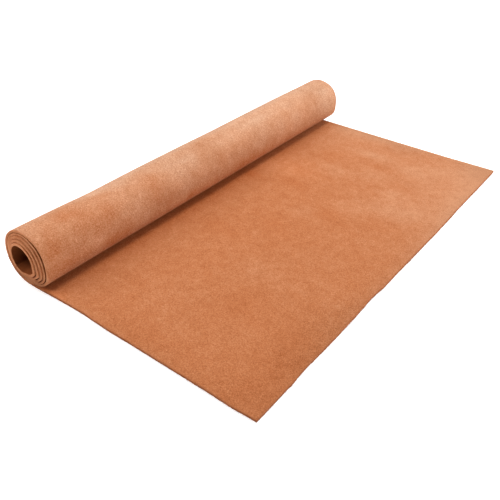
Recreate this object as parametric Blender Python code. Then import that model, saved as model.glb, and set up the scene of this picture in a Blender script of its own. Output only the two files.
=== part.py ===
"""A leather hide, partly rolled: one cut sheet whose free end lies flat.

The sheet is followed from its free end. It runs flat to the foot of the roll,
turns up on the roll's left side, and winds over the top and inwards. The roll's
axis lies along +Y, the flat reaches towards +X, and the floor is z = 0.
Lengths are in metres and winding angles in degrees. The winding angle is 0 at
the foot of the roll and grows to the left side (90), the top (180) and the
right side (270), seen from the near end (-Y).
"""
import math

import bmesh
import bpy
import numpy as np

# The leather and its cut size
THICKNESS = 0.0016
ROLLED_WIDTH = 0.3050
FLAT_REACH_NEAR = 0.1632
FLAT_REACH_FAR = 0.1614

# The roll: its outer radius at each end, and where the wound sheet ends
NEAR_RADIUS = 0.0181
FAR_RADIUS = 0.0172
WINDING_END = 1850.0

# Where each turn steps in over the sheet that lies under it
STEP_START = 318.0
STEP_END = 357.0

# How finely the sheet is divided
COARSE_DEGREES = 12.0
FINE_DEGREES = 8.0
FLAT_STATIONS = 18
WIDTH_STATIONS = 12

# Where the outermost turn stands outside a true circle
BULGE_COLUMNS = ("angle", "reach", "height")
BULGE_ROWS = (
    (52.0, 48.0, 0.0006),
    (231.0, 48.0, 0.0007),
    (297.0, 32.0, 0.0008),
)

# The air between each turn and the next one inside it, and where it is wider
CLOSE_GAP = 0.0001
LOOSE_COLUMNS = ("turn", "angle", "reach", "height")
LOOSE_ROWS = (
    (1, 60.0, 60.0, 0.00020),
    (1, 165.0, 90.0, 0.00010),
    (1, 242.0, 65.0, 0.00100),
    (1, 300.0, 36.0, 0.00030),
    (2, 310.0, 50.0, 0.00030),
    (3, 330.0, 50.0, 0.00045),
    (4, 290.0, 45.0, 0.00045),
    (4, 335.0, 45.0, 0.00040),
)

# Swells and hollows along the top of the roll, by share of its length
TOP_ANGLE = 170.0
TOP_REACH = 100.0
SWELL_COLUMNS = ("place", "reach", "height")
SWELL_ROWS = (
    (0.02, 0.10, 0.00030),
    (0.18, 0.07, -0.00030),
    (0.22, 0.13, -0.00040),
    (0.56, 0.08, -0.00020),
    (0.80, 0.18, 0.00025),
)

# Where the near edge lies: from the third turn on each one stands out past the one
# around it, and the near end is not quite square: its lower left is furthest out
FLAT_NEAR_Y = 0.0005
FLAT_FAR_Y = 0.3010
FOOT_REACH = 0.030
END_TILT = 0.0008
TILT_ANGLE = 52.0
TILT_FADED = 1440.0
NEAR_EDGE_COLUMNS = ("winding", "y")
NEAR_EDGE_ROWS = (
    (0.0, 0.0),
    (500.0, 0.0),
    (1850.0, -0.0031),
)

# Waves of the flat's near edge, outwards, by the distance from the foot
NEAR_WAVE_COLUMNS = ("place", "reach", "height")
NEAR_WAVE_ROWS = (
    (0.042, 0.018, -0.00040),
    (0.067, 0.014, 0.00025),
    (0.147, 0.014, 0.00025),
    (0.163, 0.012, -0.00030),
)

# Waves of the free edge, outwards, by share of its length from near to far
FREE_WAVE_COLUMNS = ("place", "reach", "height")
FREE_WAVE_ROWS = (
    (0.03, 0.09, 0.00028),
    (0.15, 0.06, -0.00040),
    (0.36, 0.07, -0.00060),
    (0.64, 0.17, 0.00036),
    (0.81, 0.08, -0.00030),
)

# Places where the flat stands a little off the floor
LIFT_COLUMNS = ("x", "y", "reach", "height")
LIFT_ROWS = (
    (0.162, 0.300, 0.045, 0.0005),
    (0.165, 0.100, 0.035, 0.0004),
)


def rows(columns, table):
    """Give each row of a table as a dictionary of its named columns."""
    return [dict(zip(columns, row)) for row in table]


def column(columns, table, name):
    """One column of a table as a list."""
    return [row[name] for row in rows(columns, table)]


def hump(distance):
    """A smooth hump: 1 at its middle, 0 from a distance of 1 outwards."""
    if abs(distance) >= 1.0:
        return 0.0
    return 0.5 + 0.5 * math.cos(math.pi * distance)


def humps(columns, table, place):
    """The sum at a place of a table's humps."""
    return sum(
        row["height"] * hump((place - row[columns[0]]) / row["reach"])
        for row in rows(columns, table)
    )


def ramp(value, start, end):
    """A smooth rise from 0 at start to 1 at end."""
    share = min(max((value - start) / (end - start), 0.0), 1.0)
    return share * share * (3.0 - 2.0 * share)


def lift(x, y):
    """How far the flat stands off the floor."""
    return sum(
        row["height"] * hump(math.hypot(x - row["x"], y - row["y"]) / row["reach"])
        for row in rows(LIFT_COLUMNS, LIFT_ROWS)
    )


def gap_under(winding):
    """The air between the sheet at a winding angle and the next turn inside it."""
    gap = CLOSE_GAP
    for row in rows(LOOSE_COLUMNS, LOOSE_ROWS):
        loosest = 360.0 * (row["turn"] - 1) + row["angle"]
        gap += row["height"] * hump((winding - loosest) / row["reach"])
    return gap


def inset(winding):
    """How far the sheet's outer side lies inside the roll's outer circle."""
    if winding > 360.0:
        one_turn_out = winding - 360.0
        return inset(one_turn_out) + THICKNESS + gap_under(one_turn_out)
    step = THICKNESS + gap_under(0.0)
    bulge = humps(BULGE_COLUMNS, BULGE_ROWS, winding)
    return step * ramp(winding, STEP_START, STEP_END) - bulge


def wound_near_y(winding):
    """Where the near edge lies on the roll."""
    windings = column(NEAR_EDGE_COLUMNS, NEAR_EDGE_ROWS, "winding")
    near_ys = column(NEAR_EDGE_COLUMNS, NEAR_EDGE_ROWS, "y")
    fading = max(1.0 - winding / TILT_FADED, 0.0)
    tilt = fading * END_TILT * math.cos(math.radians(winding - TILT_ANGLE))
    return float(np.interp(winding, windings, near_ys)) - tilt


def flat_near_y(x):
    """Where the near edge lies on the flat, at a distance from the foot."""
    standing_out = (FLAT_NEAR_Y - wound_near_y(0.0)) * hump(x / FOOT_REACH)
    return FLAT_NEAR_Y - standing_out - humps(NEAR_WAVE_COLUMNS, NEAR_WAVE_ROWS, x)


def station_list():
    """Every station from the free end inwards: its place on the flat or its winding."""
    flat = [("flat", 1.0 - index / FLAT_STATIONS) for index in range(FLAT_STATIONS)]
    wound = []
    winding = 0.0
    while winding < WINDING_END:
        wound.append(("wound", winding))
        stepping_in = winding % 360.0 >= STEP_START - FINE_DEGREES
        winding += FINE_DEGREES if stepping_in else COARSE_DEGREES
    wound.append(("wound", WINDING_END))
    return flat + wound


def flat_point(place, share):
    """A point of the flat's underside: place 0 at the foot, share 0 at the near edge."""
    reach = FLAT_REACH_NEAR + (FLAT_REACH_FAR - FLAT_REACH_NEAR) * share
    x = place * (reach + humps(FREE_WAVE_COLUMNS, FREE_WAVE_ROWS, share))
    near_y = flat_near_y(x)
    y = near_y + (FLAT_FAR_Y - near_y) * share
    return (x, y, lift(x, y))


def wound_point(winding, share):
    """A point of the roll's outer side at a winding angle."""
    near_y = wound_near_y(winding)
    foot_width = FLAT_FAR_Y - wound_near_y(0.0)
    width = foot_width + (ROLLED_WIDTH - foot_width) * ramp(winding, 0.0, 180.0)
    y = near_y + width * share

    place = y / ROLLED_WIDTH
    circle_radius = NEAR_RADIUS + (FAR_RADIUS - NEAR_RADIUS) * place
    near_top = hump((winding % 360.0 - TOP_ANGLE) / TOP_REACH)
    swell = near_top * humps(SWELL_COLUMNS, SWELL_ROWS, place)
    radius = circle_radius - inset(winding) + swell
    angle = math.radians(winding)
    return (-radius * math.sin(angle), y, circle_radius - radius * math.cos(angle))


def sheet_point(kind, value, share):
    """A point of the sheet's lower and outer side."""
    if kind == "flat":
        return flat_point(value, share)
    return wound_point(value, share)


def middle(values):
    """Halfway between the least and the greatest."""
    return (min(values) + max(values)) / 2.0


def make_leather():
    """The sheet's tan suede."""
    material = bpy.data.materials.new("leather")
    material.use_nodes = True
    shader = material.node_tree.nodes["Principled BSDF"]
    shader.inputs["Base Color"].default_value = (0.55, 0.20, 0.075, 1.0)
    shader.inputs["Roughness"].default_value = 0.85
    shader.inputs["Metallic"].default_value = 0.0
    return material


def make_hide(material):
    """The one sheet: a strip of faces along its run, thickened inwards."""
    shares = [index / WIDTH_STATIONS for index in range(WIDTH_STATIONS + 1)]
    grid = []
    for kind, value in station_list():
        grid.append([sheet_point(kind, value, share) for share in shares])
    centre_x = middle([point[0] for line in grid for point in line])
    centre_y = middle([point[1] for line in grid for point in line])

    shape = bmesh.new()
    lines = []
    for line in grid:
        lines.append([shape.verts.new((x - centre_x, y - centre_y, z)) for x, y, z in line])
    for outer, inner in zip(lines, lines[1:]):
        for near, far in zip(range(WIDTH_STATIONS), range(1, WIDTH_STATIONS + 1)):
            shape.faces.new((outer[near], inner[near], inner[far], outer[far]))
    mesh = bpy.data.meshes.new("hide")
    shape.to_mesh(mesh)
    shape.free()
    mesh.materials.append(material)
    mesh.shade_smooth()
    mesh.set_sharp_from_angle(angle=math.radians(40.0))

    hide = bpy.data.objects.new("hide", mesh)
    bpy.context.scene.collection.objects.link(hide)
    thicken = hide.modifiers.new("thickness", "SOLIDIFY")
    thicken.thickness = THICKNESS
    thicken.offset = -1.0
    thicken.use_even_offset = True
    return hide


def main():
    for item in list(bpy.data.objects):
        bpy.data.objects.remove(item, do_unlink=True)
    make_hide(make_leather())


main()
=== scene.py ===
# %% [markdown]
# # A leather hide, partly rolled
# The real object is one rectangle of suede, about twice as long as it is wide. A
# good quarter of it lies flat and the rest is wound into a roll on its left. Nothing
# is sewn to it. So this lesson models one thin sheet: it is cut, divided, wound up,
# given its thickness, and then finished as suede. The solid that the frame holds
# is only its plain form. It stays in place for collision and is hidden here.

# %% Load the frame and keep its box
import math

import bmesh
import bpy
import numpy as np
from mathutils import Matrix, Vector, noise


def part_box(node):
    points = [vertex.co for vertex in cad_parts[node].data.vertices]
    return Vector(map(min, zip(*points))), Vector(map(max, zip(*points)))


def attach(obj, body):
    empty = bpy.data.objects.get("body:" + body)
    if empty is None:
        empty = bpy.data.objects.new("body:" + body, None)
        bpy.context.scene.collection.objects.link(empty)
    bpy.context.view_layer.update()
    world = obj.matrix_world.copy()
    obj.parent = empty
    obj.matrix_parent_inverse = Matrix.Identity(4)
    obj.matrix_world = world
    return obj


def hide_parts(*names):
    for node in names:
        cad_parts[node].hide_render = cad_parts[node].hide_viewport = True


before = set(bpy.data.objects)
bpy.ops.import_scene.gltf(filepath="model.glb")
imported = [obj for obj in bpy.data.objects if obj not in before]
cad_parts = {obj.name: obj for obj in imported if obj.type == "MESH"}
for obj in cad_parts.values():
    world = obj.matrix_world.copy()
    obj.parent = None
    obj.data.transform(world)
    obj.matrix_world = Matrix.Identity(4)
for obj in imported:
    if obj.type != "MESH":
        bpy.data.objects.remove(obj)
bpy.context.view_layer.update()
hide_low, hide_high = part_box("hide")
print("frame box", [round(side, 4) for side in hide_high - hide_low])


# %% [markdown]
# ## Sizes
# A maker knows the leather's weight and the size of the cut, and sees how the
# roll lies. Everything else is worked out from these. Lengths are in metres and
# winding angles in degrees: 0 at the foot of the roll, 90 at its left side, 180 at
# the top and 270 at its right side, seen from the near end. The first turn is the
# outermost one.

# %% The leather and the roll
THICKNESS = 0.0016
ROLLED_WIDTH = 0.3050
FLAT_REACH_NEAR = 0.1632
FLAT_REACH_FAR = 0.1614
NEAR_RADIUS = 0.0181
FAR_RADIUS = 0.0172
WINDING_END = 1850.0
TURN = 360.0
print("turns in the roll", round(WINDING_END / TURN, 2))


# %% [markdown]
# ## Soft steps and soft swellings
# Leather has no sharp changes. A smooth hump (one raised cosine) is enough to say
# where the roll bulges, where an edge wanders and where a turn stands off the next
# one. Each table below is a short list of such humps, with its columns named, so
# a form can be moved or made stronger by changing one number.

# %% Helpers for humps
def hump(distance):
    """1 at the middle, falling smoothly to 0 at a distance of 1."""
    near = np.clip(np.abs(distance), 0.0, 1.0)
    return 0.5 + 0.5 * np.cos(math.pi * near)


def humps(table, place):
    """The sum at each place of a table's humps."""
    total = np.zeros_like(place)
    for middle, reach, height in table:
        total += height * hump((place - middle) / reach)
    return total


def ramp(value, start, end):
    """A smooth rise from 0 at start to 1 at end."""
    share = np.clip((value - start) / (end - start), 0.0, 1.0)
    return share * share * (3.0 - 2.0 * share)


print("hump at 0, 0.5 and 1:", hump(np.array([0.0, 0.5, 1.0])).round(3))


# %% [markdown]
# ## How the turns lie
# The outermost turn is nearly a circle. It bulges a little, and it steps in over
# the sheet that leaves the roll at its foot. Every turn inside it follows the one
# around it, one thickness and a little air further in. Under the outermost turn the
# air is widest at the upper right. Further in it is widest at the lower right, where
# the roll has sprung open.

# %% Bulges and air between the turns
STEP_START = 318.0
STEP_END = 357.0
CLOSE_GAP = 0.0001

# winding angle, reach, height
BULGES = (
    (52.0, 48.0, 0.0006),
    (231.0, 48.0, 0.0007),
    (297.0, 32.0, 0.0008),
)

# winding angle counted through all turns, reach, height
LOOSE_PLACES = (
    (60.0, 60.0, 0.00020),
    (165.0, 90.0, 0.00010),
    (242.0, 65.0, 0.00100),
    (300.0, 36.0, 0.00030),
    (TURN + 310.0, 50.0, 0.00030),
    (2 * TURN + 330.0, 50.0, 0.00045),
    (3 * TURN + 290.0, 45.0, 0.00045),
    (3 * TURN + 335.0, 45.0, 0.00040),
)


def gap_under(winding):
    """The air between the sheet and the next turn inside it."""
    return CLOSE_GAP + humps(LOOSE_PLACES, winding)


def inset(winding):
    """How far the sheet's outer side lies inside the roll's outer circle."""
    winding = np.array(winding, float)
    total = np.zeros_like(winding)
    while (winding > TURN).any():
        inner = winding > TURN
        one_turn_out = winding - TURN
        total += np.where(inner, THICKNESS + gap_under(one_turn_out), 0.0)
        winding = np.where(inner, one_turn_out, winding)
    step = THICKNESS + gap_under(np.zeros(1))[0]
    return total + step * ramp(winding, STEP_START, STEP_END) - humps(BULGES, winding)


core_radius = NEAR_RADIUS - inset([WINDING_END])[0] - THICKNESS
print("radius of the open core at the near end", round(float(core_radius), 4))


# %% [markdown]
# ## Where the cut edges lie
# The two long edges were cut square, but the roll was not wound square: from the
# third turn on, each one stands out at the near end a little past the one around it,
# and that end is slightly tilted.
# The cut itself wanders by some tenths of a millimetre. Along the top of the roll
# there are soft swells, and two places of the flat stand a little off the table.

# %% Edge places, waves, swells and lifts
FLAT_NEAR_Y = 0.0005
FLAT_FAR_Y = 0.3010
FOOT_REACH = 0.030
END_TILT = 0.0008
TILT_ANGLE = 52.0
TILT_FADED = 1440.0
SQUARE_UNTIL = 500.0
INNER_END_Y = -0.0031

TOP_ANGLE = 170.0
TOP_REACH = 100.0

# share of the roll's length, reach, height
SWELLS = (
    (0.02, 0.10, 0.00030),
    (0.18, 0.07, -0.00030),
    (0.22, 0.13, -0.00040),
    (0.56, 0.08, -0.00020),
    (0.80, 0.18, 0.00025),
)

# distance from the foot, reach, height outwards
NEAR_WAVES = (
    (0.042, 0.018, -0.00040),
    (0.067, 0.014, 0.00025),
    (0.147, 0.014, 0.00025),
    (0.163, 0.012, -0.00030),
)

# share of the free edge from near to far, reach, height outwards
FREE_WAVES = (
    (0.03, 0.09, 0.00028),
    (0.15, 0.06, -0.00040),
    (0.36, 0.07, -0.00060),
    (0.64, 0.17, 0.00036),
    (0.81, 0.08, -0.00030),
)

# x, y, reach, height
LIFTS = (
    (0.162, 0.300, 0.045, 0.0005),
    (0.165, 0.100, 0.035, 0.0004),
)


def wound_near_y(winding):
    """Where the near edge lies on the roll."""
    standing_out = np.interp(winding, (SQUARE_UNTIL, WINDING_END), (0.0, INNER_END_Y))
    fading = np.maximum(1.0 - winding / TILT_FADED, 0.0)
    return standing_out - fading * END_TILT * np.cos(np.radians(winding - TILT_ANGLE))


FOOT_NEAR_Y = float(wound_near_y(np.zeros(1))[0])


def flat_near_y(x):
    """Where the near edge lies on the flat."""
    standing_out = (FLAT_NEAR_Y - FOOT_NEAR_Y) * hump(x / FOOT_REACH)
    return FLAT_NEAR_Y - standing_out - humps(NEAR_WAVES, x)


print("near edge at the foot", round(FOOT_NEAR_Y * 1000, 2), "mm")


# %% [markdown]
# ## From the flat cut to its place
# A point of the sheet has two numbers: how far along the sheet it is, and how far
# across. The next functions give its place on the flat, and its place on the roll.
# Simulated cloth could be rolled too, but a wound spiral is a rule, and a rule can
# be written down exactly.

# %% Points of the flat and of the roll
def flat_points(place, share):
    """The underside of the flat: place 0 at the foot, share 0 at the near edge."""
    reach = FLAT_REACH_NEAR + (FLAT_REACH_FAR - FLAT_REACH_NEAR) * share
    x = place * (reach + humps(FREE_WAVES, share))
    near_y = flat_near_y(x)
    y = near_y + (FLAT_FAR_Y - near_y) * share
    z = np.zeros_like(x)
    for lift_x, lift_y, lift_reach, height in LIFTS:
        z += height * hump(np.hypot(x - lift_x, y - lift_y) / lift_reach)
    return np.stack((x, y, z), axis=1)


def wound_points(winding, share):
    """The outer side of the roll."""
    near_y = wound_near_y(winding)
    foot_width = FLAT_FAR_Y - FOOT_NEAR_Y
    width = foot_width + (ROLLED_WIDTH - foot_width) * ramp(winding, 0.0, 180.0)
    y = near_y + width * share
    place = y / ROLLED_WIDTH
    circle_radius = NEAR_RADIUS + (FAR_RADIUS - NEAR_RADIUS) * place
    near_top = hump((winding % TURN - TOP_ANGLE) / TOP_REACH)
    radius = circle_radius - inset(winding) + near_top * humps(SWELLS, place)
    angle = np.radians(winding)
    x = -radius * np.sin(angle)
    z = circle_radius - radius * np.cos(angle)
    return np.stack((x, y, z), axis=1)


FLAT_COLUMNS = 60
WOUND_COLUMNS = 247
ACROSS_CELLS = 116
FLAT_PART = FLAT_COLUMNS / (FLAT_COLUMNS + WOUND_COLUMNS)
print("share of the columns on the flat", round(FLAT_PART, 3))


def winding_at(run):
    """The winding angle at a share of the sheet's columns, from its free edge."""
    return np.maximum(run - FLAT_PART, 0.0) / (1.0 - FLAT_PART) * WINDING_END


def sheet_points(run, share):
    """Points of the sheet's outer side."""
    place = np.clip(1.0 - run / FLAT_PART, 0.0, 1.0)
    on_flat = (run <= FLAT_PART)[:, None]
    return np.where(on_flat, flat_points(place, share), wound_points(winding_at(run), share))


# %% Length of the sheet, measured along its middle
MEASURE_STEPS = 4000
runs = np.linspace(0.0, 1.0, MEASURE_STEPS)
middle_line = sheet_points(runs, np.full(MEASURE_STEPS, 0.5))
steps = np.linalg.norm(np.diff(middle_line, axis=0), axis=1)
lengths = np.concatenate(([0.0], np.cumsum(steps)))
# halfway through the leather, every turn is a little shorter than on its outer side
middle_length = lengths[-1] - math.radians(WINDING_END) * THICKNESS / 2.0
print("length of the sheet's outer side", round(float(lengths[-1]), 4))
print("length halfway through the leather", round(float(middle_length), 4))


# %% [markdown]
# ## Cut and divide the sheet
# The cut piece starts as a grid. Its middle needs only cells of two or three
# millimetres, but the cut edges are what the eye follows, so the outermost ring of
# faces is subdivided. The map of the cut, in metres, is kept as a UV map, so that
# marks in the leather follow it round the roll.

# %% Add the grid and subdivide its edge
EDGE_CUTS = 2

bpy.ops.object.select_all(action="DESELECT")
bpy.ops.mesh.primitive_grid_add(
    x_subdivisions=FLAT_COLUMNS + WOUND_COLUMNS,
    y_subdivisions=ACROSS_CELLS,
    size=1.0,
    location=(0.5, 0.5, 0.0),
)
sheet = bpy.context.object
sheet.name = "suede_sheet"
sheet.data.name = "suede_sheet"
bpy.ops.object.transform_apply(location=True, rotation=True, scale=True)

bpy.ops.object.mode_set(mode="EDIT")
bpy.ops.mesh.select_all(action="DESELECT")
shape = bmesh.from_edit_mesh(sheet.data)
for face in shape.faces:
    face.select_set(any(corner.is_boundary for corner in face.verts))
bmesh.update_edit_mesh(sheet.data)
bpy.ops.mesh.subdivide(number_cuts=EDGE_CUTS, ngon=False)
bpy.ops.object.mode_set(mode="OBJECT")
print("faces in the flat cut", len(sheet.data.polygons))


# %% Read and write a mesh's points
def read_points(mesh):
    """A mesh's vertices as rows of x, y and z."""
    flat_list = np.zeros(len(mesh.vertices) * 3)
    mesh.vertices.foreach_get("co", flat_list)
    return flat_list.reshape(-1, 3)


def write_points(mesh, points):
    """Put a mesh's vertices at these places."""
    mesh.vertices.foreach_set("co", points.ravel())
    mesh.update()


cut = read_points(sheet.data)
run, share = cut[:, 0], cut[:, 1]
along = np.interp(run, runs, lengths)
print("vertices", len(cut))


# %% Keep the map of the cut
def read_corners(mesh):
    """The vertex number at each corner of each face."""
    corners = np.zeros(len(mesh.loops), dtype=int)
    mesh.loops.foreach_get("vertex_index", corners)
    return corners


MAP_NAME = "cut_map"
sheet.data.uv_layers[0].name = MAP_NAME
corners = read_corners(sheet.data)
cut_map = np.stack((along[corners], share[corners] * ROLLED_WIDTH), axis=1)
sheet.data.uv_layers[MAP_NAME].data.foreach_set("uv", cut_map.ravel())
print("map reaches", cut_map.max(axis=0).round(4))


# %% [markdown]
# ## The knife's own unevenness
# A long cut in suede is never a clean line. The blade wanders, fibres stand out,
# and here and there a nick or a tuft is left. Fine noise moves the outermost
# vertices in and out by about a tenth of a millimetre, and the plainest tufts and
# nicks of the free edge are listed one by one.

# %% Uneven cut edges
WANDER_SIZE = 0.006
WANDER = 0.00010
FRAY_SIZE = 0.0013
FRAY = 0.00012

# distance from the near corner along the free edge, reach, height outwards
NICKS = (
    (0.0285, 0.0022, 0.00022),
    (0.0315, 0.0045, 0.00024),
    (0.0485, 0.0020, 0.00022),
    (0.0515, 0.0040, 0.00011),
    (0.0700, 0.0020, 0.00016),
    (0.0905, 0.0030, 0.00012),
    (0.1018, 0.0030, 0.00018),
    (0.1235, 0.0065, 0.00022),
    (0.1315, 0.0016, 0.00012),
    (0.1570, 0.0160, 0.00014),
    (0.1580, 0.0014, 0.00028),
    (0.1600, 0.0016, -0.00012),
    (0.1820, 0.0080, -0.00012),
    (0.1960, 0.0050, 0.00010),
    (0.2140, 0.0030, 0.00016),
    (0.2200, 0.0050, 0.00014),
    (0.2420, 0.0035, 0.00014),
    (0.2450, 0.0150, 0.00018),
)


def unevenness(distance, seed):
    """How far a cut edge stands out at each distance along it."""
    values = []
    for place in distance:
        wander = noise.noise(Vector((place / WANDER_SIZE, seed, 0.0)))
        fray = noise.noise(Vector((place / FRAY_SIZE, seed, 5.0)))
        values.append(WANDER * wander + FRAY * fray)
    return np.array(values)


plain_points = sheet_points(run, share)
points = plain_points.copy()
EDGE_TOLERANCE = 1e-5
near_edge = share < EDGE_TOLERANCE
far_edge = share > 1.0 - EDGE_TOLERANCE
free_edge = run < EDGE_TOLERANCE
points[near_edge, 1] -= unevenness(along[near_edge], 1.0)
points[far_edge, 1] += unevenness(along[far_edge], 2.0)
free_y = points[free_edge, 1]
points[free_edge, 0] += unevenness(free_y, 3.0) + humps(NICKS, free_y)
moved = np.linalg.norm(points - plain_points, axis=1)
print("vertices on the cut edges", int((moved > 0.0).sum()))
print("greatest unevenness", round(float(moved.max()) * 1000, 2), "mm")


# %% Set the wound sheet on the frame
# Measured without the fraying, the sheet ends exactly where the solid ends
free_x, far_y = plain_points[:, 0].max(), plain_points[:, 1].max()
foot_place = np.array([hide_high.x - free_x, hide_high.y - far_y, 0.0])
write_points(sheet.data, points + foot_place)
print("foot of the roll at", foot_place.round(4))


# %% [markdown]
# ## Thickness and cut corners
# Solidify grows the leather inwards from its outer side, which keeps the outside
# of the roll where it is. Its rim is the cut edge. A small bevel takes the razor
# sharpness off the rim's corners, as fingers do.

# %% Solidify, then bevel the rim
OUTSIDE, INSIDE, CUT_EDGE = 0, 1, 2
EDGE_ROUNDING = 0.00022
EDGE_SEGMENTS = 2
RIM_ANGLE = 60.0


def apply_modifier(piece, modifier):
    """Apply one modifier of a piece."""
    bpy.ops.object.select_all(action="DESELECT")
    piece.select_set(True)
    bpy.context.view_layer.objects.active = piece
    bpy.ops.object.modifier_apply(modifier=modifier.name)


for slot_name in ("suede_outside", "suede_inside", "suede_cut_edge"):
    sheet.data.materials.append(bpy.data.materials.new(slot_name))

thicken = sheet.modifiers.new("thickness", "SOLIDIFY")
thicken.thickness = THICKNESS
thicken.offset = -1.0
thicken.use_even_offset = True
thicken.material_offset = INSIDE
thicken.material_offset_rim = CUT_EDGE
apply_modifier(sheet, thicken)

round_edges = sheet.modifiers.new("rounding", "BEVEL")
round_edges.width = EDGE_ROUNDING
round_edges.segments = EDGE_SEGMENTS
round_edges.limit_method = "ANGLE"
round_edges.angle_limit = math.radians(RIM_ANGLE)
round_edges.material = CUT_EDGE
round_edges.use_clamp_overlap = True
apply_modifier(sheet, round_edges)
sheet.data.shade_smooth()
triangles = sum(len(face.vertices) - 2 for face in sheet.data.polygons)
print("triangles in the sheet", triangles)


# %% [markdown]
# ## Creases, nap marks and painted light
# Handling leaves two kinds of marks. A crease is a real, shallow trough, so it is
# moved into the mesh. A nap mark only turns the fibres another way and looks like
# a lighter or darker cloud, so it is kept as a number on each vertex, which the
# material reads. Both are listed one by one: marks of the flat by x and y, and those
# of the roll by winding angle and y.
# Many of the marks are painted light and shade: painted sheen along the top of the roll and
# over the far part of the flat, and painted shade at the foot of the roll, in the crease and
# along the edges.

# %% Which vertices belong to which side
def side_vertices(mesh, side):
    """True for each vertex that a face of this side uses."""
    found = np.zeros(len(mesh.vertices), dtype=bool)
    for face in mesh.polygons:
        if face.material_index == side:
            found[list(face.vertices)] = True
    return found


mesh = sheet.data
outer = side_vertices(mesh, OUTSIDE)
inner = side_vertices(mesh, INSIDE)
print("outer and inner vertices", int(outer.sum()), int(inner.sum()))


# %% Where each vertex lies on the cut
corner_map = np.zeros(len(mesh.loops) * 2)
mesh.uv_layers[MAP_NAME].data.foreach_get("uv", corner_map)
vertex_map = np.zeros((len(mesh.vertices), 2))
vertex_map[read_corners(mesh)] = corner_map.reshape(-1, 2)
vertex_along, vertex_across = vertex_map[:, 0], vertex_map[:, 1]
vertex_run = np.interp(vertex_along, lengths, runs)
NOT_WOUND = -1.0
on_flat = vertex_run <= FLAT_PART
vertex_winding = np.where(on_flat, NOT_WOUND, winding_at(vertex_run))
print("vertices on the flat and on the roll", int(on_flat.sum()), int((~on_flat).sum()))


# %% The crease round the roll, near its far end
CREASE_DEPTH = 0.00028
CREASE_WIDTH = 0.0026
CREASE_MIDDLE_ANGLE = 228.0
CREASE_HALF_ANGLE = 78.0
CREASE_Y = 0.2729
CREASE_SLANT = 0.00001

crease_line = CREASE_Y + CREASE_SLANT * (vertex_winding - CREASE_MIDDLE_ANGLE)
crease = hump((vertex_across - crease_line) / CREASE_WIDTH)
crease *= np.sqrt(hump((vertex_winding - CREASE_MIDDLE_ANGLE) / CREASE_HALF_ANGLE))
crease *= outer

points = read_points(mesh)
axis_z = NEAR_RADIUS + (FAR_RADIUS - NEAR_RADIUS) * vertex_across / ROLLED_WIDTH
from_axis = np.stack((points[:, 0] - foot_place[0], points[:, 2] - axis_z), axis=1)
from_axis_length = np.maximum(np.linalg.norm(from_axis, axis=1), THICKNESS)
pull = CREASE_DEPTH * crease / from_axis_length
points[:, 0] -= pull * from_axis[:, 0]
points[:, 2] -= pull * from_axis[:, 1]
write_points(mesh, points)
print("deepest crease", round(float((CREASE_DEPTH * crease).max()) * 1000, 2), "mm")
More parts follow.
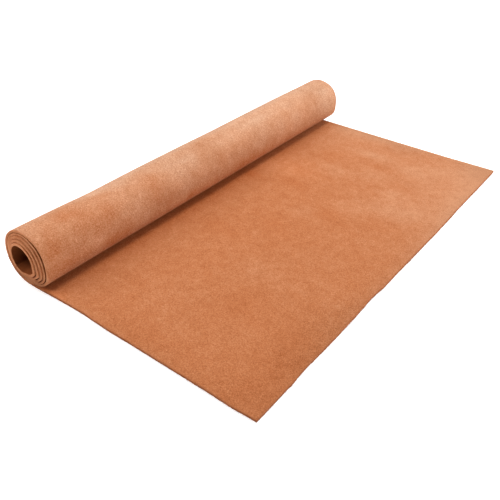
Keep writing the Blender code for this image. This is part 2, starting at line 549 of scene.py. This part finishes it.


# %% [markdown]
# ## The clouds of the nap, and painted light and shade
# Each mark is a soft cloud with two weights. Tone turns the nap: above 0 it looks
# whiter, below 0 deeper. Its broad pale clouds are painted sheen, and its deep clouds
# at the foot of the roll are painted shade. Shade is painted light above 0, which is
# paler, and painted shade below 0, which is darker. The clouds overlap, and their sums
# matter.

# %% Nap marks of the flat
# x from the foot, y, reach in x, reach in y, tone, shade
FLAT_MARKS = (
    # broad painted sheen: paler over the far part, deeper at the near right corner
    (0.170, -0.010, 0.045, 0.060, -0.35, 0.00),
    (0.165, 0.265, 0.050, 0.075, 0.95, 0.00),
    (0.040, 0.300, 0.075, 0.060, 0.55, 0.00),
    # painted shade at the foot of the roll, deeper and redder, and painted light and shade
    # along its border
    (0.012, 0.150, 0.0105, 0.250, -1.10, 0.09),
    (0.023, 0.150, 0.009, 0.250, 0.00, 0.07),
    (0.024, 0.035, 0.005, 0.050, 0.00, 0.05),
    (0.014, 0.060, 0.003, 0.065, 0.00, 0.11),
    (0.029, 0.080, 0.006, 0.060, 0.00, 0.03),
    (0.018, 0.142, 0.003, 0.016, 0.00, -0.06),
    (0.014, 0.174, 0.003, 0.014, 0.00, 0.10),
    (0.022, 0.184, 0.012, 0.004, -0.55, 0.00),
    (0.020, 0.205, 0.016, 0.014, 0.35, 0.00),
    (0.026, 0.210, 0.012, 0.020, 0.00, 0.06),
    (0.016, 0.245, 0.006, 0.060, 0.00, -0.08),
    (0.012, 0.250, 0.004, 0.060, 0.20, 0.24),
    (0.018, 0.262, 0.003, 0.024, 0.00, -0.07),
    (0.017, 0.288, 0.003, 0.016, 0.00, -0.08),
    (0.012, 0.291, 0.004, 0.014, 0.10, 0.16),
    # along the cut edges: painted shade that darkens them, and painted sheen at the far edge
    (0.080, -0.002, 0.080, 0.011, 0.10, -0.08),
    (0.155, 0.006, 0.022, 0.016, 0.00, -0.06),
    (0.075, 0.008, 0.030, 0.009, -0.30, 0.00),
    (0.155, 0.040, 0.012, 0.025, 0.00, -0.04),
    (0.152, 0.042, 0.012, 0.022, -0.30, -0.03),
    (0.150, 0.075, 0.012, 0.016, 0.00, -0.05),
    (0.165, 0.080, 0.012, 0.050, 0.00, -0.10),
    (0.168, 0.150, 0.010, 0.180, 0.30, -0.08),
    (0.165, 0.240, 0.010, 0.070, 0.60, -0.05),
    (0.042, 0.290, 0.014, 0.010, 0.20, 0.02),
    (0.090, 0.290, 0.014, 0.010, 0.00, -0.06),
    (0.050, 0.291, 0.012, 0.008, 0.00, -0.03),
    (0.150, 0.292, 0.016, 0.014, 0.00, -0.08),
    (0.162, 0.296, 0.018, 0.020, 0.90, -0.05),
    (0.060, 0.300, 0.036, 0.010, 0.90, -0.09),
    (0.110, 0.303, 0.060, 0.006, 0.60, 0.00),
    (0.100, 0.304, 0.080, 0.008, 0.00, -0.10),
    # small clouds of the nap, from near to far; their shade is painted light and shade
    (0.110, 0.060, 0.014, 0.018, -0.25, 0.00),
    (0.096, 0.090, 0.014, 0.012, 0.25, 0.00),
    (0.062, 0.112, 0.012, 0.006, -0.20, 0.00),
    (0.040, 0.114, 0.012, 0.006, -0.35, 0.00),
    (0.075, 0.135, 0.018, 0.012, -0.25, 0.00),
    (0.082, 0.166, 0.009, 0.008, 0.40, 0.00),
    (0.096, 0.170, 0.014, 0.007, -0.30, 0.00),
    (0.130, 0.178, 0.013, 0.006, -0.20, 0.00),
    (0.100, 0.184, 0.013, 0.010, 0.45, 0.02),
    (0.050, 0.192, 0.014, 0.005, -0.45, 0.00),
    (0.118, 0.198, 0.020, 0.009, 0.45, 0.00),
    (0.138, 0.205, 0.012, 0.010, 0.45, 0.00),
    (0.036, 0.207, 0.012, 0.010, 0.00, 0.06),
    (0.044, 0.210, 0.016, 0.014, 0.00, 0.06),
    (0.117, 0.219, 0.010, 0.011, 0.50, 0.02),
    (0.068, 0.226, 0.013, 0.009, 0.45, 0.00),
    (0.118, 0.233, 0.010, 0.006, -0.30, 0.00),
    (0.095, 0.238, 0.013, 0.009, 0.40, 0.00),
    (0.050, 0.244, 0.012, 0.010, -0.25, 0.00),
    (0.088, 0.251, 0.014, 0.006, -0.15, 0.00),
    (0.114, 0.262, 0.014, 0.008, 0.45, 0.00),
    (0.076, 0.267, 0.017, 0.005, 0.70, 0.00),
    (0.128, 0.274, 0.010, 0.005, 0.30, 0.00),
)
print("marks on the flat", len(FLAT_MARKS))


# %% Nap marks of the roll
# winding angle, y, reach in degrees, reach in y, tone, shade
ROLL_MARKS = (
    # painted sheen along the top, and painted shade, deeper and redder, low on the right
    (128.0, 0.160, 26.0, 0.150, 0.70, -0.04),
    (160.0, 0.160, 13.0, 0.150, 1.30, -0.07),
    (292.0, 0.180, 16.0, 0.120, -0.60, 0.06),
    (180.0, 0.240, 30.0, 0.140, 0.80, 0.00),
    # close to the two ends: deeper and paler clouds at the near end, painted shade and
    # painted sheen at the far end
    (205.0, 0.004, 30.0, 0.006, 0.35, 0.00),
    (250.0, 0.008, 50.0, 0.012, -0.80, -0.02),
    (258.0, 0.010, 8.0, 0.006, 0.45, 0.05),
    (195.0, 0.288, 25.0, 0.020, 0.00, -0.07),
    (215.0, 0.290, 16.0, 0.008, 0.00, -0.07),
    (240.0, 0.292, 45.0, 0.014, 0.85, -0.04),
    (220.0, 0.295, 10.0, 0.008, 0.50, 0.00),
    # small clouds of the nap, from near to far; their shade is painted light and shade
    (284.0, 0.022, 10.0, 0.014, -0.50, 0.00),
    (196.0, 0.027, 10.0, 0.008, -0.50, 0.00),
    (174.0, 0.030, 14.0, 0.012, -0.35, 0.00),
    (270.0, 0.032, 20.0, 0.028, 0.00, 0.12),
    (270.0, 0.039, 10.0, 0.006, 0.50, 0.10),
    (236.0, 0.040, 42.0, 0.014, -0.55, 0.00),
    (198.0, 0.052, 10.0, 0.010, 0.15, 0.00),
    (232.0, 0.052, 16.0, 0.006, -0.35, 0.00),
    (284.0, 0.052, 14.0, 0.014, -0.70, 0.00),
    (172.0, 0.054, 14.0, 0.010, 0.60, 0.03),
    (192.0, 0.056, 10.0, 0.008, -0.50, 0.00),
    (262.0, 0.058, 8.0, 0.006, -0.35, 0.00),
    (232.0, 0.063, 12.0, 0.006, 0.10, 0.05),
    (254.0, 0.066, 14.0, 0.008, 0.00, 0.05),
    (188.0, 0.070, 14.0, 0.012, 0.40, 0.00),
    (178.0, 0.072, 12.0, 0.009, 0.45, 0.00),
    (272.0, 0.074, 14.0, 0.012, 0.00, 0.04),
    (258.0, 0.075, 15.0, 0.006, 0.20, 0.03),
    (248.0, 0.082, 12.0, 0.006, -0.30, 0.00),
    (170.0, 0.083, 8.0, 0.004, 0.50, 0.00),
    (246.0, 0.090, 40.0, 0.006, -0.45, 0.00),
    (190.0, 0.095, 12.0, 0.004, 0.45, -0.02),
    (270.0, 0.100, 18.0, 0.006, -0.50, 0.00),
    (206.0, 0.107, 16.0, 0.008, 0.35, -0.03),
    (288.0, 0.107, 8.0, 0.008, 0.30, 0.07),
    (250.0, 0.108, 14.0, 0.007, 0.00, 0.09),
    (198.0, 0.112, 14.0, 0.009, 0.40, 0.00),
    (182.0, 0.114, 8.0, 0.008, 0.45, 0.00),
    (230.0, 0.114, 25.0, 0.007, 0.30, -0.02),
    (228.0, 0.120, 14.0, 0.012, 0.30, 0.00),
    (285.0, 0.120, 14.0, 0.026, -0.15, 0.04),
    (288.0, 0.120, 10.0, 0.006, -0.35, 0.00),
    (207.0, 0.122, 6.0, 0.005, 0.50, 0.00),
    (205.0, 0.126, 14.0, 0.010, 0.30, 0.00),
    (216.0, 0.128, 16.0, 0.007, 0.35, -0.03),
    (250.0, 0.133, 16.0, 0.009, 0.00, 0.06),
    (196.0, 0.135, 24.0, 0.032, -0.10, -0.07),
    (286.0, 0.141, 8.0, 0.005, 0.00, 0.08),
    (232.0, 0.142, 8.0, 0.005, -0.20, -0.06),
    (175.0, 0.150, 22.0, 0.010, -0.40, 0.00),
    (225.0, 0.150, 22.0, 0.007, 0.00, -0.07),
    (262.0, 0.153, 16.0, 0.008, 0.00, 0.05),
    (242.0, 0.154, 14.0, 0.008, -0.35, 0.00),
    (280.0, 0.156, 10.0, 0.012, 0.00, -0.05),
    (212.0, 0.160, 12.0, 0.006, 0.30, 0.00),
    (275.0, 0.165, 14.0, 0.010, 0.00, 0.05),
    (215.0, 0.170, 15.0, 0.006, 0.50, 0.00),
    (210.0, 0.186, 12.0, 0.008, 0.35, 0.00),
    (192.0, 0.187, 10.0, 0.006, 0.00, -0.05),
    (278.0, 0.190, 18.0, 0.026, -0.40, 0.00),
    (265.0, 0.195, 16.0, 0.008, 0.40, 0.03),
    (170.0, 0.196, 8.0, 0.006, 0.00, 0.06),
    (240.0, 0.200, 30.0, 0.007, 0.20, 0.00),
    (203.0, 0.205, 12.0, 0.014, 0.10, -0.05),
    (203.0, 0.205, 12.0, 0.022, 0.40, 0.00),
    (222.0, 0.205, 20.0, 0.020, 0.20, -0.03),
    (240.0, 0.226, 38.0, 0.005, 0.30, 0.00),
    (280.0, 0.226, 10.0, 0.008, 0.00, 0.07),
    (262.0, 0.232, 16.0, 0.012, 0.00, 0.07),
    (206.0, 0.240, 12.0, 0.006, 0.20, 0.00),
    (262.0, 0.240, 12.0, 0.022, 0.00, 0.04),
    (210.0, 0.245, 12.0, 0.008, 0.00, -0.06),
    (242.0, 0.245, 26.0, 0.007, 0.50, 0.00),
    (286.0, 0.250, 8.0, 0.006, 0.00, 0.08),
    (206.0, 0.254, 12.0, 0.012, 0.10, -0.04),
    (258.0, 0.255, 16.0, 0.010, 0.00, 0.05),
    (215.0, 0.270, 45.0, 0.010, 0.10, -0.04),
    (210.0, 0.277, 16.0, 0.004, -0.40, -0.05),
)
print("marks on the roll", len(ROLL_MARKS))


# %% Add the marks up on each vertex
# The crease gets painted shade, deeper in tone and darker. The lower parts of the
# roll's cut ends get painted shade, darker towards the bottom, and the narrow bands of
# the inner turns that stand out at the near end get painted light: brighter, and a
# redder brown, to lift the shade in the gaps between them.
CREASE_PAINTED_TONE = -0.30
CREASE_PAINTED_SHADE = -0.05
END_PAINTED_SHADE = -0.25
END_PAINTED_SHADE_HEIGHTS = (0.003, 0.016)
STRIP_PAINTED_TONE = -0.80
STRIP_PAINTED_LIGHT = 0.40
STRIP_WIDTH = 0.004
STRIP_TURNS = (690.0, 730.0)


def cloud_sums(table, first, second):
    """The sums of a table's soft clouds at each place: tone and shade."""
    tones, shades = np.zeros_like(first), np.zeros_like(first)
    for middle_first, middle_second, reach_first, reach_second, tone, shade in table:
        spread = np.hypot(
            (first - middle_first) / reach_first,
            (second - middle_second) / reach_second,
        )
        cloud = np.exp(-spread * spread)
        tones += tone * cloud
        shades += shade * cloud
    return tones, shades


def write_numbers(mesh, name, numbers):
    """Keep one number on each vertex under a name that a material can read."""
    kept = mesh.attributes.new(name, "FLOAT", "POINT")
    kept.data.foreach_set("value", numbers.astype(np.float32))
    print(name, "from", round(float(numbers.min()), 2), "to", round(float(numbers.max()), 2))


from_foot = points[:, 0] - foot_place[0]
mark_y = points[:, 1] - foot_place[1]
flat_top = inner & on_flat
flat_tone, flat_shade = cloud_sums(FLAT_MARKS, from_foot, mark_y)
roll_tone, roll_shade = cloud_sums(ROLL_MARKS, vertex_winding, mark_y)
# the crease gets painted shade
tone = flat_tone * flat_top + (roll_tone + CREASE_PAINTED_TONE * crease) * outer
shade = flat_shade * flat_top + (roll_shade + CREASE_PAINTED_SHADE * crease) * outer
# painted shade, darker towards the bottom of the roll's cut ends
end_painted_shade = END_PAINTED_SHADE * (1.0 - ramp(points[:, 2], *END_PAINTED_SHADE_HEIGHTS))
shade += end_painted_shade * ~(outer | inner) * (vertex_winding > 0.0)
# painted light, brighter and redder, on the bands of the inner turns at the near end
painted_light_bands = outer * (vertex_across < STRIP_WIDTH) * ramp(vertex_winding, *STRIP_TURNS)
tone += STRIP_PAINTED_TONE * painted_light_bands
shade += STRIP_PAINTED_LIGHT * painted_light_bands
write_numbers(mesh, "nap_and_painted_light_tone", tone)
write_numbers(mesh, "painted_light_and_shade", shade)


# %% [markdown]
# ## Painted shade inside the roll and on some edges
# Where the turns cover each other, in the open core and in the gaps between the turns
# at the near end, the colour is made darker and redder: this is painted shade. So are
# the flat's cut edge that lies on the table, its rounded rim, and the outline of the
# roll's far end. This could be painted on by hand, but the winding angle already tells
# which parts are covered. So the strength of the painted shade is a third number on
# each vertex.

# %% Depth of the painted shade
# The first two pairs are winding angles: the painted shade deepens from the one to the
# other.
SHADED_INSIDE_ANGLES = (60.0, 100.0)
SHADED_OUTSIDE_ANGLES = (345.0, 362.0)
PALER_INWARDS = 0.75
END_REACH = 2.0
FLAT_EDGE_SHADE = 0.70
FLAT_RIM_SHADE = 0.15
FAR_RIM_SHADE = 0.85
FAR_RIM_FROM = 0.999

cut_face = side_vertices(mesh, CUT_EDGE)
only_cut = cut_face & ~outer & ~inner
# painted shade in the open core and in the gaps between the turns
shaded_inside = inner * ramp(vertex_winding, *SHADED_INSIDE_ANGLES)
shaded_outside = outer * ramp(vertex_winding, *SHADED_OUTSIDE_ANGLES)
shaded_outside *= 1.0 - PALER_INWARDS * ramp(vertex_winding, *STRIP_TURNS)
# painted shade on the inner end, on the flat's cut edge and rim, and on the far end's rim
inner_end = only_cut * (vertex_winding > WINDING_END - END_REACH)
flat_edge = only_cut * on_flat * FLAT_EDGE_SHADE
flat_rim = cut_face * ~only_cut * on_flat * FLAT_RIM_SHADE
at_far_end = vertex_across > ROLLED_WIDTH * FAR_RIM_FROM
far_rim = cut_face * ~on_flat * at_far_end * FAR_RIM_SHADE
painted_shade_places = (shaded_inside, shaded_outside, inner_end, flat_edge, flat_rim, far_rim)
depth = np.max(painted_shade_places, axis=0)
write_numbers(mesh, "painted_shade_depth", depth)
# share of the vertices with strong painted shade
print("share of the vertices with deep dye", round(float((depth > 0.5).mean()), 2))


# %% [markdown]
# ## Suede
# Suede is the fibrous side of the skin. Two things make it look right: soft clouds
# and blotches where the nap lies differently, and a fine grain of fibre tips. The
# clouds are noise on the map of the cut, so they follow the leather round the roll,
# and the grain is noise on the object's own coordinates. The grain's pattern is
# tilted, because noise looks smoother on a surface that runs right along its cells,
# as the flat would. A ramp turns the whole into colour: deeper and redder below,
# whiter above. The shader's own sheen would give the pale bloom too, but it also
# turns the shadows grey, so the marks carry the bloom.
# So the bloom in the marks is painted sheen.

# %% Small helpers for nodes
HALF = 0.5


def add_node(tree, kind, **settings):
    """A new node with some of its settings."""
    node = tree.nodes.new(kind)
    for name, value in settings.items():
        setattr(node, name, value)
    return node


def add_marks(tree, name):
    """The numbers that the vertices carry under this name."""
    return add_node(tree, "ShaderNodeAttribute", attribute_name=name).outputs["Fac"]


def add_noise(tree, vector, size, detail, roughness, distortion):
    """Noise whose lumps are about this size, in metres. Its middle value is a half."""
    node = add_node(tree, "ShaderNodeTexNoise", noise_dimensions="3D")
    node.inputs["Scale"].default_value = 1.0 / size
    node.inputs["Detail"].default_value = detail
    node.inputs["Roughness"].default_value = roughness
    node.inputs["Distortion"].default_value = distortion
    tree.links.new(vector, node.inputs["Vector"])
    return node.outputs["Fac"]


def add_math(tree, operation, first, second, third=0.0):
    """One sum on sockets or numbers."""
    node = add_node(tree, "ShaderNodeMath", operation=operation)
    for socket, value in zip(node.inputs, (first, second, third)):
        if isinstance(value, (int, float)):
            socket.default_value = value
        else:
            tree.links.new(value, socket)
    return node.outputs["Value"]


def weigh(tree, value, strength, base, middle=HALF):
    """base + (value - middle) * strength."""
    centred = add_math(tree, "SUBTRACT", value, middle)
    return add_math(tree, "MULTIPLY_ADD", centred, strength, base)


def add_ramp(tree, value, stops):
    """Colours by value: stops are (place, colour)."""
    node = add_node(tree, "ShaderNodeValToRGB")
    ramp_stops = node.color_ramp.elements
    while len(ramp_stops) < len(stops):
        ramp_stops.new(HALF)
    for stop, (place, colour) in zip(ramp_stops, stops):
        stop.position = place
        stop.color = (*colour, 1.0)
    tree.links.new(value, node.inputs["Fac"])
    return node.outputs["Color"]


def add_scaled(tree, colour, brightness):
    """A colour made brighter or darker by a number."""
    node = add_node(tree, "ShaderNodeVectorMath", operation="SCALE")
    tree.links.new(colour, node.inputs["Vector"])
    tree.links.new(brightness, node.inputs["Scale"])
    return node.outputs["Vector"]


def add_bump(tree, height, strength, distance):
    """A bumped normal: how strong it is, and how high it stands in metres."""
    node = add_node(tree, "ShaderNodeBump")
    node.inputs["Strength"].default_value = strength
    node.inputs["Distance"].default_value = distance
    tree.links.new(height, node.inputs["Height"])
    return node.outputs["Normal"]


# %% What the three finishes share
# the colour of the painted shade in the core, in the gaps between the turns and on some cut
# edges
PAINTED_SHADE_COLOUR = (0.170, 0.046, 0.014, 1.0)
SPECULAR = 0.02


def start_finish(material):
    """Turn a material's nodes on. Gives its tree and its shader."""
    material.use_nodes = True
    shader = material.node_tree.nodes["Principled BSDF"]
    shader.inputs["Specular IOR Level"].default_value = SPECULAR
    return material.node_tree, shader


def finish_colour(tree, shader, colour):
    """Mix in the painted shade, darker and redder, where the vertices carry it, and use it.
    """
    node = add_node(tree, "ShaderNodeMix", data_type="RGBA")
    tree.links.new(add_marks(tree, "painted_shade_depth"), node.inputs["Factor"])
    tree.links.new(colour, node.inputs["A"])
    node.inputs["B"].default_value = PAINTED_SHADE_COLOUR
    tree.links.new(node.outputs["Result"], shader.inputs["Base Color"])


# the colour of the painted shade
print("deep dye", PAINTED_SHADE_COLOUR[:3])


# %% The finish of the two broad sides
# size, detail, roughness, distortion
CLOUDS = (0.030, 3.0, 0.55, 0.6)
BLOTCHES = (0.0075, 3.0, 0.60, 0.4)
MOTTLING = (0.0026, 2.0, 0.60, 0.3)
GRAIN = (0.0008, 2.0, 0.60, 0.0)
FIBRES = (0.0004, 2.0, 0.70, 0.0)
GRAIN_TILT = (0.6, 0.45, 0.0)

# how much each one moves the tone, and how much it moves the brightness
CLOUD_TONE = 0.22
GRAIN_TONE = 0.45
MARK_TONE = 0.40
GRAIN_LIGHT = 0.40
FIBRE_LIGHT = 0.45
MOTTLE_LIGHT = 0.45
BLOTCH_LIGHT = 0.35

SUEDE_ROUGHNESS = 0.88
TONE_ROUGHNESS = -0.15
FIBRE_HEIGHT = 0.6
SUEDE_BUMP = 0.5
SUEDE_BUMP_HEIGHT = 0.00016


def add_mapping(tree, vector, **settings):
    """Coordinates that are moved, turned or scaled."""
    node = add_node(tree, "ShaderNodeMapping")
    for name, value in settings.items():
        node.inputs[name].default_value = value
    tree.links.new(vector, node.inputs["Vector"])
    return node.outputs["Vector"]


def make_suede(material, stops, offset, graininess, mottle, blotch, stretch):
    """Suede with clouds, blotches, grain, nap marks and painted light and shade."""
    tree, shader = start_finish(material)
    cut_place = add_node(tree, "ShaderNodeUVMap", uv_map=MAP_NAME).outputs["UV"]
    cut_place = add_mapping(
        tree,
        cut_place,
        Location=(offset, offset, 0.0),
        Scale=(1.0 / stretch, 1.0, 1.0),
    )
    object_place = add_node(tree, "ShaderNodeTexCoord").outputs["Object"]
    object_place = add_mapping(tree, object_place, Rotation=GRAIN_TILT)

    clouds = add_noise(tree, cut_place, *CLOUDS)
    blotches = add_noise(tree, cut_place, *BLOTCHES)
    mottling = add_noise(tree, cut_place, *MOTTLING)
    grain = add_noise(tree, object_place, *GRAIN)
    fibres = add_noise(tree, object_place, *FIBRES)

    tone = weigh(tree, clouds, CLOUD_TONE, HALF)
    tone = weigh(tree, blotches, blotch, tone)
    tone = weigh(tree, mottling, mottle, tone)
    tone = weigh(tree, grain, GRAIN_TONE * graininess, tone)
    # the marks' tone: clouds of the nap, painted sheen and painted shade
    tone = weigh(tree, add_marks(tree, "nap_and_painted_light_tone"), MARK_TONE, tone, middle=0.0)
    colour = add_ramp(tree, tone, stops)

    brightness = weigh(tree, grain, GRAIN_LIGHT * graininess, 1.0)
    brightness = weigh(tree, fibres, FIBRE_LIGHT * graininess, brightness)
    brightness = weigh(tree, mottling, MOTTLE_LIGHT * mottle, brightness)
    brightness = weigh(tree, blotches, BLOTCH_LIGHT * blotch, brightness)
    # the marks' shade: painted light and shade
    brightness = add_math(tree, "ADD", brightness, add_marks(tree, "painted_light_and_shade"))
    finish_colour(tree, shader, add_scaled(tree, colour, brightness))

    roughness = weigh(tree, tone, TONE_ROUGHNESS, SUEDE_ROUGHNESS)
    tree.links.new(roughness, shader.inputs["Roughness"])
    height = weigh(tree, fibres, FIBRE_HEIGHT, grain)
    normal = add_bump(tree, height, SUEDE_BUMP, SUEDE_BUMP_HEIGHT)
    tree.links.new(normal, shader.inputs["Normal"])


print("patterns from", CLOUDS[0] * 1000, "mm down to", FIBRES[0] * 1000, "mm")


# %% Use it on the outside and on the inside
INSIDE_STOPS = (
    (0.00, (0.29, 0.079, 0.024)),
    (0.50, (0.34, 0.122, 0.050)),
    (1.00, (0.40, 0.185, 0.097)),
)
OUTSIDE_STOPS = (
    (0.00, (0.33, 0.102, 0.035)),
    (0.50, (0.39, 0.174, 0.090)),
    (1.00, (0.46, 0.260, 0.163)),
)
make_suede(
    mesh.materials[OUTSIDE],
    OUTSIDE_STOPS,
    offset=1.3,
    graininess=1.85,
    mottle=0.16,
    blotch=0.42,
    stretch=1.25,
)
make_suede(
    mesh.materials[INSIDE],
    INSIDE_STOPS,
    offset=3.7,
    graininess=1.5,
    mottle=0.30,
    blotch=0.42,
    stretch=1.0,
)
print("suede finishes", [mesh.materials[side].name for side in (OUTSIDE, INSIDE)])


# %% [markdown]
# ## The cut edge
# A cut shows the leather's inside: short fibres seen end on, without the pale bloom
# of the broad sides. Fine noise gives the fibres, and coarser noise the patches where
# the knife pressed harder. The map of the cut is too narrow here to carry a pattern,
# so both lie on the object's own coordinates.

# %% The finish of the cut edge
CUT_STOPS = (
    (0.25, (0.34, 0.123, 0.053)),
    (0.55, (0.44, 0.173, 0.080)),
    (0.85, (0.52, 0.235, 0.124)),
)

# size, detail, roughness, distortion
CUT_FIBRES = (0.0006, 3.0, 0.70, 0.0)
CUT_PATCHES = (0.006, 2.0, 0.50, 0.0)
CUT_FIBRE_TONE = 0.8
CUT_ROUGHNESS = 0.92
CUT_BUMP = 0.6
CUT_BUMP_HEIGHT = 0.0002


def make_cut_edge(material):
    """The cut through the leather, with fibres that stand out."""
    tree, shader = start_finish(material)
    object_place = add_node(tree, "ShaderNodeTexCoord").outputs["Object"]
    fibres = add_noise(tree, object_place, *CUT_FIBRES)
    patches = add_noise(tree, object_place, *CUT_PATCHES)
    colour = add_ramp(tree, weigh(tree, fibres, CUT_FIBRE_TONE, patches), CUT_STOPS)
    # the marks' shade on the cut edges: painted shade, darker towards the bottom of the
    # roll's ends
    brightness = add_math(tree, "ADD", add_marks(tree, "painted_light_and_shade"), 1.0)
    finish_colour(tree, shader, add_scaled(tree, colour, brightness))
    shader.inputs["Roughness"].default_value = CUT_ROUGHNESS
    normal = add_bump(tree, fibres, CUT_BUMP, CUT_BUMP_HEIGHT)
    tree.links.new(normal, shader.inputs["Normal"])


make_cut_edge(mesh.materials[CUT_EDGE])
print("cut edge finish", mesh.materials[CUT_EDGE].name)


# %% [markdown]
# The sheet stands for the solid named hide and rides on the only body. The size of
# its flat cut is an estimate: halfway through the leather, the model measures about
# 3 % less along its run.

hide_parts("hide")
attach(sheet, "root")


# %% [markdown]
# ## Studio
# A pale floor and six soft lamps give the look of a catalogue picture. The lamp
# above and behind is small, so it draws the narrow shadow at the foot of the roll.
# The two at the back on the right light the roll's right side at a low angle without
# filling that shadow. The large one in front on the left lights the near end, and two
# weak ones soften what is left. The floor shines a little too, like a light table.
# Far away, floor and surround look white to the camera alone, so that a low view has
# no dark horizon while the light on the leather stays the same.

# %% Floor
FLOOR_SIZE = 8.0
FLOOR_DROP = 0.0001
FLOOR_COLOUR = (0.95, 0.95, 0.95, 1.0)
FLOOR_ROUGHNESS = 0.9
FLOOR_SPECULAR = 0.1
FLOOR_SHINE = 0.20
WHITE = (1.0, 1.0, 1.0, 1.0)
WHITE_FROM = 0.40
WHITE_AT = 1.60


def make_floor_finish(material):
    """A pale matt table that shines a little, and looks white far away."""
    material.use_nodes = True
    tree = material.node_tree
    shader = tree.nodes["Principled BSDF"]
    shader.inputs["Base Color"].default_value = FLOOR_COLOUR
    shader.inputs["Emission Color"].default_value = WHITE
    shader.inputs["Roughness"].default_value = FLOOR_ROUGHNESS
    shader.inputs["Specular IOR Level"].default_value = FLOOR_SPECULAR

    distance = add_node(tree, "ShaderNodeVectorMath", operation="LENGTH")
    object_place = add_node(tree, "ShaderNodeTexCoord").outputs["Object"]
    tree.links.new(object_place, distance.inputs["Vector"])
    far_away = add_node(tree, "ShaderNodeMapRange", interpolation_type="SMOOTHSTEP")
    far_away.inputs["From Min"].default_value = WHITE_FROM
    far_away.inputs["From Max"].default_value = WHITE_AT
    tree.links.new(distance.outputs["Value"], far_away.inputs["Value"])
    seen = add_node(tree, "ShaderNodeLightPath").outputs["Is Camera Ray"]
    seen_far_away = add_math(tree, "MULTIPLY", far_away.outputs["Result"], seen)
    shine = add_math(tree, "ADD", seen_far_away, FLOOR_SHINE)
    tree.links.new(shine, shader.inputs["Emission Strength"])


bpy.ops.object.select_all(action="DESELECT")
bpy.ops.mesh.primitive_plane_add(size=FLOOR_SIZE, location=(0.0, 0.0, -FLOOR_DROP))
floor = bpy.context.object
floor.name = "floor"
floor.data.materials.append(bpy.data.materials.new("floor_pale"))
make_floor_finish(floor.data.materials[0])
print("floor", FLOOR_SIZE, "m wide, white from", WHITE_AT, "m outwards")


# %% Surround
SURROUND = 0.05
BACKDROP = 1.0

world = bpy.data.worlds.new("studio")
world.use_nodes = True
world_tree = world.node_tree
surround = world_tree.nodes["Background"]
surround.inputs["Color"].default_value = WHITE
seen = add_node(world_tree, "ShaderNodeLightPath").outputs["Is Camera Ray"]
strength = add_math(world_tree, "MULTIPLY_ADD", seen, BACKDROP - SURROUND, SURROUND)
world_tree.links.new(strength, surround.inputs["Strength"])
bpy.context.scene.world = world
bpy.context.scene.view_settings.view_transform = "Standard"
print("surround as a light", SURROUND, "and as the camera sees it", BACKDROP)


# %% Lamps
LAMP_DISTANCE = 1.30

# name, bearing (0 in front, 90 to the right, 180 behind), height angle, size, watts
LAMPS = (
    ("lamp_back_right_low", 135.0, 10.0, 0.90, 15.0),
    ("lamp_back_right", 135.0, 25.0, 0.90, 7.0),
    ("lamp_above_behind", 170.0, 60.0, 0.45, 15.0),
    ("lamp_front_left", 315.0, 45.0, 0.90, 14.0),
    ("lamp_left", 270.0, 55.0, 0.90, 3.0),
    ("lamp_above_front", 0.0, 60.0, 0.45, 2.0),
)


def add_lamp(name, bearing, height, size, watts):
    """A square soft lamp aimed at the sheet's middle."""
    bearing, height = math.radians(bearing), math.radians(height)
    flat_distance = LAMP_DISTANCE * math.cos(height)
    place = Vector((
        flat_distance * math.sin(bearing),
        -flat_distance * math.cos(bearing),
        LAMP_DISTANCE * math.sin(height),
    ))
    lamp = bpy.data.lights.new(name, "AREA")
    lamp.size = size
    lamp.energy = watts
    holder = bpy.data.objects.new(name, lamp)
    holder.location = place
    holder.rotation_euler = (-place).to_track_quat("-Z", "Y").to_euler()
    bpy.context.scene.collection.objects.link(holder)


for lamp_row in LAMPS:
    add_lamp(*lamp_row)
print("lamps", len(LAMPS), "watts", round(sum(lamp_row[-1] for lamp_row in LAMPS), 1))


# %% [markdown]
# ## Camera
# The camera stands in front on the right and looks down to the left, so that the
# spiral end, the whole length of the roll and the flat are seen at once. Its place
# is measured from the foot of the roll, so it goes along if the sheet is moved.

# %% Camera
CAMERA_FROM_FOOT = (0.2756, -0.1509, 0.2300)
CAMERA_TURN = 37.56
CAMERA_DOWN = 35.36
CAMERA_ROLL = 0.426
LENS = 45.55
CLIP_START = 0.01

camera_data = bpy.data.cameras.new("camera")
camera_data.lens = LENS
camera_data.clip_start = CLIP_START
camera = bpy.data.objects.new("camera", camera_data)
camera.location = Vector(CAMERA_FROM_FOOT) + Vector(foot_place)
camera.rotation_euler = (math.radians(90.0 - CAMERA_DOWN), 0.0, math.radians(CAMERA_TURN))
camera.rotation_euler.rotate_axis("Z", math.radians(CAMERA_ROLL))
bpy.context.scene.collection.objects.link(camera)
bpy.context.scene.camera = camera
print("camera at", [round(value, 4) for value in camera.location])
